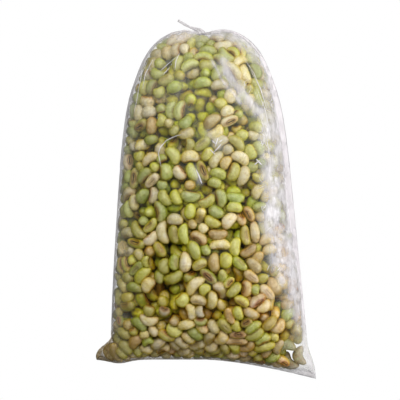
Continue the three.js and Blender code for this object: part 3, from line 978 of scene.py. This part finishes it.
def film_skin():
    """Clear film: it reflects a little, more at a grazing angle, and scatters where it is hazy."""
    s = Shader("clear_film")
    place = s.node("TexCoord").outputs["Object"]
    long_way = s.node("Mapping")
    long_way.inputs["Scale"].default_value = (1.0, 0.4, 1.0)
    s.wire(place, long_way.inputs["Vector"])
    streaks = s.noise(long_way.outputs[0], 330.0, 3.0, 0.6)
    clouds = s.noise(place, 28.0, 2.0)
    patches = s.noise(place, 105.0, 3.0, 0.6)

    # Painted glare: the patchy white over the right of the front film.
    patchy = s.times(s.attribute("patchy_haze"), s.ramp(patches, 0.36, 0.62, 0.35, 1.25))
    haze = s.math("ADD", s.attribute("haze"), patchy)
    tint = s.mix(s.ramp(haze, 0.08, 0.3), CLEAR_TINT, HAZY_TINT)
    # Painted shade: brown where the film lies over the shaded left corner and along the seal.
    tint = s.mix(s.attribute("stain"), tint, linear(*PAINTED_SHADE_BROWN))
    tint = s.mix(s.attribute("dull"), tint, DULL_TINT)
    s.wire(tint, s.skin.inputs["Base Color"])

    mirror = s.math("ADD", s.times(s.math("POWER", s.facing(), 5.0), 0.05), 0.003)
    mirror = s.times(mirror, s.ramp(haze, 0.1, 0.4, 1.0, 0.15))
    veil = s.times(s.ramp(streaks, 0.35, 0.75, 0.75, 1.4), s.math("ADD", haze, 0.001))
    veil = s.times(veil, s.ramp(clouds, 0.3, 0.7, 0.8, 1.2))
    whole = s.math("ADD", mirror, veil, clamp=True)
    s.wire(whole, s.skin.inputs["Alpha"])
    s.wire(s.math("DIVIDE", mirror, whole), s.skin.inputs["Metallic"])
    s.skin.inputs["Roughness"].default_value = 0.2
    s.bump(s.math("ADD", streaks, s.noise(place, 170.0, 2.0)), 0.5, 0.35)
    return s.material


# The film's mesh


def even_shares(points, count):
    """Places along a line, given as shares of its points, that are evenly spaced on it."""
    step = np.linalg.norm(np.diff(points, axis=0), axis=1)
    length = np.concatenate([[0], np.cumsum(step)]) / step.sum()
    return np.interp(np.linspace(0, 1, count), length, np.linspace(0, 1, len(points)))


def film_rows():
    """Shares of the bag's length, closer together where its shape turns in at the two ends."""
    t = np.linspace(0, 1, 6000)
    y = t * BAG_LENGTH
    profile = np.stack([y, crown_height(y), 0.8 * half_width(y, 1.0)], -1)
    keep = half_width(y, 1.0) > 4.2
    return np.interp(even_shares(profile[keep], FILM_ROWS), np.linspace(0, 1, keep.sum()), t[keep])


def front_stations():
    """Places across the front film, from 1 at the right to -1 at the left, evenly spaced on it."""
    turn = np.linspace(0, math.pi, 2000)
    mid = bag_section(0.5, np.cos(turn), True, 0)
    line = np.stack([mid["x"], mid["z"]], -1)
    return np.cos(np.interp(even_shares(line, FRONT_STATIONS), np.linspace(0, 1, 2000), turn))


def fold_droop(y):
    return FOLD_DROOP * smooth((y - 14) / 10)


def film_half(rows, across, front):
    """The front or back film from the right fold to the left one, without the folds themselves."""
    s = bag_section(rows[:, None], across[None, :], front, 0)
    fold = s["fold"]
    y = s["y"][:, :1]
    apart = (HOLLOW_EDGE if front else -HOLLOW_EDGE) * smooth(y / 0.5)
    z = np.maximum(s["z"], fold + apart) if front else np.minimum(s["z"], fold + apart)
    lip = smooth(y / LIP)
    z = fold + apart * (1 - lip) + (z - fold) * lip
    share = np.arange(1, FLANGE_STEPS) / FLANGE_STEPS
    parts = []
    for side, body in ((1, s["x"][:, :1]), (-1, s["x"][:, -1:])):
        tip = s["centre"] + side * half_width(y, side)
        x = body + (tip - body) * share
        ripple = 0.15 * np.sin(y / 4.3 + side) * np.sin(y / 11 + 2 * side) * share
        droop = share * fold_droop(y) if side < 0 else 0
        parts.append((x, fold + apart * (1 - share) + ripple * smooth(y / 6) - droop))
    (right_x, right_z), (left_x, left_z) = parts
    x = np.concatenate([right_x[:, ::-1], s["x"], left_x], 1)
    z = np.concatenate([right_z[:, ::-1], z, left_z], 1)
    return x, np.repeat(y, x.shape[1], 1), z


def film_grid(rows):
    """The film's rings, which column the left fold is, and for each column of the back the one of
    the front that it is sealed to. The right fold is column 0."""
    across = front_stations()
    front = film_half(rows, across, True)
    back = film_half(rows, across[::2], False)
    y = rows * BAG_LENGTH
    right_tip = (centre_x(y) + half_width(y, 1), y, fold_height(y))
    left_tip = (centre_x(y) - half_width(y, -1), y, fold_height(y) - fold_droop(y))
    ring = []
    for axis in range(3):
        columns = [right_tip[axis][:, None], front[axis], left_tip[axis][:, None], back[axis][:, ::-1]]
        ring.append(np.concatenate(columns, 1))
    last = front[0].shape[1] + 1
    steps = FLANGE_STEPS - 1
    stations = range(steps + 1, steps + FRONT_STATIONS + 1, 2)
    sealed = [*range(1, steps + 1), *stations, *range(last - steps, last)]
    return settle(*ring), last, sealed[::-1]


def tail_rings(count):
    """The film gathered into the neck and its short tail."""
    n = len(TAIL_ROUTE)
    spots = np.linspace(0, n - 1, TAIL_RINGS)
    route = np.stack([np.interp(spots, np.arange(n), TAIL_ROUTE[:, k]) for k in range(3)], -1)
    for _ in range(6):
        route[1:-1] = (route[:-2] + 2 * route[1:-1] + route[2:]) / 4
    ahead = unit(np.gradient(route, axis=0))
    across = unit(np.cross(ahead, [0, 0, 1]))
    up = np.cross(across, ahead)
    share = np.linspace(0, 1, len(route))
    narrowing = smooth(share * 1.5)
    wide = NECK_RADIUS - (NECK_RADIUS - TIP_HALF_WIDTH) * narrowing
    thick = NECK_RADIUS - (NECK_RADIUS - TIP_HALF_THICKNESS) * narrowing
    turn = 2 * math.pi * (np.arange(count) + 0.5) / count
    pleat = 1 + 0.16 * np.sin(7 * turn[None, :] + 2.5 * share[:, None])
    x = (wide[:, None] * np.cos(turn) * pleat)[..., None] * across[:, None, :]
    z = (thick[:, None] * np.sin(turn) * pleat)[..., None] * up[:, None, :]
    return route[:, None, :] + x + z


def outward_of(grid):
    """The film's normals, all turned to the outside."""
    along_ring = np.roll(grid, -1, 1) - np.roll(grid, 1, 1)
    outward = unit(np.cross(along_ring, np.gradient(grid, axis=0)), 1e-9)
    from_middle = (grid - grid.mean(1, keepdims=True)) * outward
    return outward * np.sign(from_middle[10:len(grid) // 2].sum(-1).mean())


def away_from_line(points, line):
    """Distance from points to a broken line, seen from above."""
    nearest = np.full(points.shape[:-1], 1e9)
    for a, b in zip(line[:-1], line[1:]):
        a, b = np.array(a, float), np.array(b, float)
        share = clamp01(((points - a) @ (b - a)) / ((b - a) @ (b - a)))
        nearest = np.minimum(nearest, np.linalg.norm(points - a - share[..., None] * (b - a), axis=-1))
    return nearest


def room_to_beans(grid, outward, bagged, beans):
    """How far each point of the film could move inward before it meets a bean."""
    graph = bpy.context.evaluated_depsgraph_get()
    trees = [BVHTree.FromObject(piece, graph) for piece in beans]
    room = np.full(grid.shape[:2], OPEN_ROOM)
    starts = in_frame(grid + PROBE_START * outward)
    ways = (-outward).tolist()
    for r in range(3, bagged - 3):
        for c in range(grid.shape[1]):
            start, way = Vector(starts[r, c]), Vector(ways[r][c])
            for tree in trees:
                distance = tree.ray_cast(start, way, PROBE_REACH * MM)[3]
                if distance is not None:
                    room[r, c] = min(room[r, c], distance / MM - PROBE_START)
    return room - (WALL + BEAN_CLEARANCE)


def film_sink(room, bagged, left_tip):
    """The film stretched over the beans: how far each point sinks between them."""
    count = room.shape[1]
    held = np.zeros(room.shape, bool)
    for tip in (0, left_tip):
        for step in range(-FLANGE_STEPS, FLANGE_STEPS + 1):
            held[:, (tip + step) % count] = True
    held[:3] = True
    held[bagged - 4:] = True
    most = np.minimum(room, MOST_SINK)
    sink = np.zeros(room.shape)
    for _ in range(SINK_ROUNDS):
        near = np.roll(sink, 1, 0) + np.roll(sink, -1, 0) + np.roll(sink, 1, 1) + np.roll(sink, -1, 1)
        sink = np.where(held, 0, np.clip(near / 4 + SINK_STEP, -MOST_RISE, most))
    return sink


def neck_pleats(y):
    """Ridges that run out of the gathered neck, and how gathered the film is."""
    turn = np.linspace(0, 2 * math.pi, y.shape[1], endpoint=False)[None, :]
    ridges = np.sin(9 * turn + 0.5) + 0.7 * np.sin(17 * turn + y / 13) + 0.5 * np.sin(29 * turn + 2)
    return ridges, smooth((y - 160) / 28)


def pleat_profiles(grid, front):
    for line, half, high, white in PLEATS:
        yield np.exp(-((away_from_line(grid[..., :2], line) / half) ** 2)) * front, high, white


def left_ear(x, y):
    return around(x, y, (-58, 5), (9, 11))


def film_lift(grid, front, slack, bagged):
    """How far pleats and wrinkles stand out from the taut film."""
    x, y = grid[..., 0], grid[..., 1]
    lift = np.zeros(x.shape)
    for profile, high, _ in pleat_profiles(grid, front):
        lift = np.maximum(lift, high * profile)
    ridges, gathered = neck_pleats(y)
    lift[:bagged] += (0.35 * gathered * np.maximum(ridges + 1.2, 0))[:bagged]
    lift += 0.5 * left_ear(x, y) * np.sin(x * 1.1 + 1) * np.sin(y * 0.8 + 0.5 * x)
    wrinkles = np.sin(y / 3.1 + x / 5) * np.sin(x / 2.3 - y / 9) + 0.6 * np.sin(y / 1.9 - x / 3)
    lift += 0.2 * slack * np.maximum(wrinkles + 0.8, 0)
    lift[:2] = 0
    return lift


def right_glare_veil(x, y, outward, front):
    """The white strip along the right side, with a wandering edge. It is painted glare of the
    right lights on the slack film.
    """
    edge = centre_x(y) + half_width(y, 1.0) - x
    wander = 1.5 * np.sin(y / 9) + np.sin(y / 4.1 + 1)
    reach = np.interp(y, FOG_PLACES, FOG_REACH)
    fog = smooth((reach + wander + 6 - edge) / 13) * smooth((y - 4) / 20) * front
    side_on = np.maximum(outward[..., 0], 0) ** 4
    return fog * (1 - 0.6 * side_on) * (1 - 0.45 * smooth((y - 115) / 40))


def film_looks(grid, outward, front, slack, rows, left_tip):
    """For each point of the film its haze, the haze and painted glare that lie in patches, how dull it
    is and how much brown painted shade it has."""
    x, y = grid[..., 0], grid[..., 1]
    bagged, count = len(rows), grid.shape[1]
    haze = np.zeros(x.shape)
    for profile, _, white in pleat_profiles(grid, front):
        haze += white * profile
    ridges, gathered = neck_pleats(y)
    haze[:bagged] += (0.05 * gathered * np.maximum(ridges, 0))[:bagged]

    # The two bottom corners. The left one gets a brown painted shade.
    ear = left_ear(x, y)
    haze += 0.32 * ear + 0.15 * around(x, y, (61, -5), (8, 9))
    dull = 0.35 * around(x, y, (61, -6), (5, 8))
    stain = clamp01(1.8 * ear) * np.maximum(front, ear)

    # The side folds are white, and the right one is clear by its corner and broad further up.
    fold_y = y[:, 0]
    up_the_fold = smooth((fold_y - 20) / 40)
    clear_corner = 0.7 * (1 - smooth((fold_y - 8) / 20))
    for tip, clear in ((0, clear_corner), (left_tip, 0)):
        for step in range(-14, 15):
            haze[:, (tip + step) % count] += 0.36 * math.exp(-((step / 6) ** 2)) * (1 - clear)
    for step in range(-FLANGE_STEPS, FLANGE_STEPS + 1):
        haze[:, step] += 0.3 * up_the_fold
        dull[:, step] = up_the_fold

    # The seal, with brown painted shade that grows towards the left, and the neck with its tail.
    seal_band = 1 - smooth((rows * BAG_LENGTH)[:, None] / 3.6)
    towards_left = 1 - smooth((x[:bagged] - 5) / 40)
    haze[:bagged] += (0.28 + 0.26 * towards_left) * seal_band
    stain[:bagged] = np.maximum(stain[:bagged], 0.62 * towards_left * seal_band)
    haze[bagged:] += 0.6
    haze[:bagged] += 0.3 * smooth((y[:bagged] - 181) / 9)
    # Painted shade: film that faces sideways gets more haze, so the steep side walls read grey.
    haze += 0.26 * np.abs(outward[..., 0]) ** 6
    upper_left = smooth((y - 130) / 30) * smooth(-x / 20)
    haze += (0.03 * smooth((y - 70) / 90) + 0.03 * upper_left) * front
    # Painted glare: white patches on the slack film and in the strip along the right side.
    patchy_haze = 0.08 * slack + 0.65 * right_glare_veil(x, y, outward, front)
    return dict(haze=haze, patchy_haze=patchy_haze, dull=dull, stain=stain)


def film_faces(rings, count, left_tip, sealed):
    """Faces between the rings. The lowest ring of the back is the front's own edge."""
    seal = [*range(left_tip + 1), *sealed]
    faces = []
    for c in range(count):
        n = (c + 1) % count
        way = 1 if seal[n] > seal[c] else -1
        if c in (left_tip, count - 1) or abs(seal[c] - seal[n]) <= 2:
            faces.append((*range(seal[c], seal[n] + way, way), count + n, count + c))
    for low in range(count, (rings - 1) * count, count):
        for c in range(count):
            n = (c + 1) % count
            faces.append((low + c, low + n, low + count + n, low + count + c))
    return faces


def outward_faces(mesh):
    made = bmesh.new()
    made.from_mesh(mesh)
    bmesh.ops.recalc_face_normals(made, faces=made.faces)
    made.to_mesh(mesh)
    made.free()


def film_piece(beans, skin):
    rows = film_rows()
    bag, left_tip, sealed = film_grid(rows)
    bagged, count = bag.shape[:2]
    grid = np.concatenate([bag, tail_rings(count)])
    outward = outward_of(grid)
    x, y = grid[..., 0], grid[..., 1]
    front = np.zeros(x.shape)
    front[:bagged, 1:left_tip] = 1

    # The film is slack on the right, where it stands off the beans in small wrinkles.
    slack = smooth((x - 20) / 24) * smooth((y - 30) / 50) * (1 - 0.85 * smooth((y - 135) / 30)) * front
    looks = film_looks(grid, outward, front, slack, rows, left_tip)
    lift = film_lift(grid, front, slack, bagged)
    sink = film_sink(room_to_beans(grid, outward, bagged, beans), bagged, left_tip)
    sink = np.where(sink > 0, sink * (1 - 0.6 * slack), sink)
    grid = grid + outward * (lift - sink)[..., None]
    droop = SEAL_DROOP * (1 - smooth((rows * BAG_LENGTH)[:, None] / 2.4)) ** 2
    grid[:bagged, :, 2] -= droop * (1 - smooth((grid[:bagged, :, 0] - 10) / 40))
    grid[..., 2] = np.maximum(grid[..., 2], LOWEST_FILM)

    faces = film_faces(len(grid), count, left_tip, sealed)
    used = np.unique(np.concatenate([np.array(f) for f in faces]))
    index = np.full(grid[..., 0].size, -1)
    index[used] = np.arange(len(used))
    points = in_frame(grid).reshape(-1, 3)[used]
    mesh = bpy.data.meshes.new("film")
    mesh.from_pydata(points.tolist(), [], [index[list(f)].tolist() for f in faces])
    for key, values in looks.items():
        keep_on_points(mesh, key, values.ravel()[used])
    mesh.materials.append(skin)
    outward_faces(mesh)
    film = bpy.data.objects.new("film", mesh)
    wall = film.modifiers.new("wall", "SOLIDIFY")
    wall.thickness = WALL * MM
    wall.offset = -1
    piece = plain_mesh(film)
    piece.data.shade_smooth()
    return piece


def crease_lines():
    """All the sharp creases, with the short ones that are scattered over the slack film."""
    rng = np.random.default_rng(SEED + 5)
    lines = [(np.array(line, float), broad) for line, broad in SHARP_CREASES]
    for _ in range(LOOSE_CREASES):
        y = rng.uniform(42, 160)
        x = half_width(y, 1.0) - rng.uniform(2, 19)
        lean = math.radians(rng.normal(96, 34))
        reach = rng.uniform(0.6, 2.4)
        bow = rng.normal(0, 0.5)
        way = np.array([math.cos(lean), math.sin(lean)])
        side = np.array([-way[1], way[0]])
        middle = np.array([float(x), y])
        line = np.array([middle - reach * way, middle + bow * side, middle + reach * way])
        lines.append((line, rng.uniform(0.1, 0.2)))
    return lines


def crease_rings(tree, line, broad):
    """Three points across each place of a crease: its left foot, its ridge and its right foot."""
    count = max(5, int(np.linalg.norm(np.diff(line, axis=0), axis=1).sum() / CREASE_STEP))
    at = even_shares(line, count) * (len(line) - 1)
    route = np.stack([np.interp(at, np.arange(len(line)), line[:, k]) for k in range(2)], -1)
    ahead = unit(np.gradient(route, axis=0))
    rings = []
    for k in range(count):
        start = Vector(in_frame([*route[k], 80.0]))
        place, normal, _, _ = tree.ray_cast(start, Vector((0, 0, -1)))
        if place is None:
            continue
        full = max(0.12, math.sin(math.pi * (k + 0.5) / count) ** 0.6)
        side = normal.cross(Vector((*ahead[k], 0))).normalized() * MM * broad * full
        rings.append((place - side, place + normal * CREASE_HEIGHT * full * MM, place + side))
    return rings


def crease_piece(film, skin):
    """Sharp creases of the film, each a fine ridge that lies on it and runs out at both ends. They
    are drawn fully white, a painted highlight along with the whitening of creased film.
    """
    tree = BVHTree.FromObject(film, bpy.context.evaluated_depsgraph_get())
    points, faces = [], []
    for line, broad in crease_lines():
        rings = crease_rings(tree, line, broad)
        base = len(points)
        points += [tuple(p) for ring in rings for p in ring]
        for low in range(base, len(points) - 3, 3):
            for a in range(3):
                b = (a + 1) % 3
                faces.append((low + a, low + b, low + 3 + b, low + 3 + a))
        if len(rings) > 1:
            last = len(points) - 3
            faces += [(base + 2, base + 1, base), (last, last + 1, last + 2)]
    mesh = bpy.data.meshes.new("film_creases")
    mesh.from_pydata(points, [], faces)
    # Painted highlight: the crease ridges are fully hazy, so they show as white glints.
    keep_on_points(mesh, "haze", np.ones(len(points)))
    mesh.materials.append(skin)
    outward_faces(mesh)
    return shown("film_creases", mesh)


# Table, light and camera


def table_sheet(name, points, faces, tone, glow):
    mesh = bpy.data.meshes.new(name)
    mesh.from_pydata(points, [], faces)
    s = Shader(name)
    s.skin.inputs["Base Color"].default_value = (tone, tone, tone, 1)
    s.skin.inputs["Roughness"].default_value = 0.7
    s.skin.inputs["Specular IOR Level"].default_value = 0.0
    s.skin.inputs["Emission Color"].default_value = (1, 1, 1, 1)
    s.skin.inputs["Emission Strength"].default_value = glow
    mesh.materials.append(s.material)
    table = shown(name, mesh)
    return table


def table_top():
    """A table, and on it a white sheet that shows no shadow, with a hole under the bag."""
    y = np.linspace(12, BAG_LENGTH - 27, 24)
    edges = []
    for side in (1, -1):
        x = centre_x(y) + side * (half_width(y, side) - HOLE_INSET)
        edges.append(np.stack([x, y, 0 * y], -1))
    inner = in_frame(np.concatenate([edges[0], edges[1][::-1]]))
    inner[:, 2] = SHEET_LEVEL
    outer = inner * [TABLE_HALF / 0.06, TABLE_HALF / 0.10, 1]
    n = len(inner)
    faces = [(k, (k + 1) % n, n + (k + 1) % n, n + k) for k in range(n)]
    sheet = table_sheet("white_sheet", [*inner.tolist(), *outer.tolist()], faces, 0.0, 1.0)
    sheet.visible_diffuse = False
    sheet.visible_glossy = False
    square = ((-1, -1), (1, -1), (1, 1), (-1, 1))
    corners = [(TABLE_HALF * a, TABLE_HALF * b, TABLE_LEVEL) for a, b in square]
    table_sheet("table_top", corners, [(0, 1, 2, 3)], TABLE_TONE, 0.0)


def soft_box(name, place, aim, size, strength):
    light = bpy.data.lights.new(name, "AREA")
    light.shape = "RECTANGLE"
    light.size, light.size_y = size
    light.energy = strength * math.pi * size[0] * size[1]
    lamp = bpy.data.objects.new(name, light)
    lamp.location = place
    lamp.rotation_euler = (Vector(aim) - Vector(place)).to_track_quat("-Z", "Y").to_euler()
    lamp.visible_camera = False
    bpy.context.scene.collection.objects.link(lamp)


def studio():
    table_top()
    for name, box in SOFT_BOXES.items():
        soft_box(name, **box)
    world = bpy.data.worlds.new("studio")
    world.use_nodes = True
    world.node_tree.nodes["Background"].inputs["Color"].default_value = (1, 1, 1, 1)
    world.node_tree.nodes["Background"].inputs["Strength"].default_value = ROOM_LIGHT
    camera_data = bpy.data.cameras.new("camera")
    camera_data.sensor_width = SENSOR_WIDTH
    camera_data.lens = SENSOR_WIDTH * (CAMERA_PLACE[2] - PICTURE_LEVEL) / PICTURE_WIDTH
    camera = bpy.data.objects.new("camera", camera_data)
    camera.location = CAMERA_PLACE
    scene = bpy.context.scene
    scene.world = world
    scene.view_settings.view_transform = "Standard"
    scene.collection.objects.link(camera)
    scene.camera = camera


# Putting the part together

heap = heap_pieces()
corner_skin = bean_skin("corner_beans", BEAN_COLOURS["corner_beans"])
corners = {name: corner_bean(name, bean, corner_skin) for name, bean in LOOSE_BEANS.items()}
clear = film_skin()
film = film_piece([*heap, *corners.values()], clear)
creases = crease_piece(film, clear)

for piece in heap:
    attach(piece, "root")
    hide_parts("bean_heap")
for name, piece in corners.items():
    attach(piece, "root")
    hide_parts(name)
for piece in (film, creases):
    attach(piece, "root")
    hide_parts("bag_film")

studio()
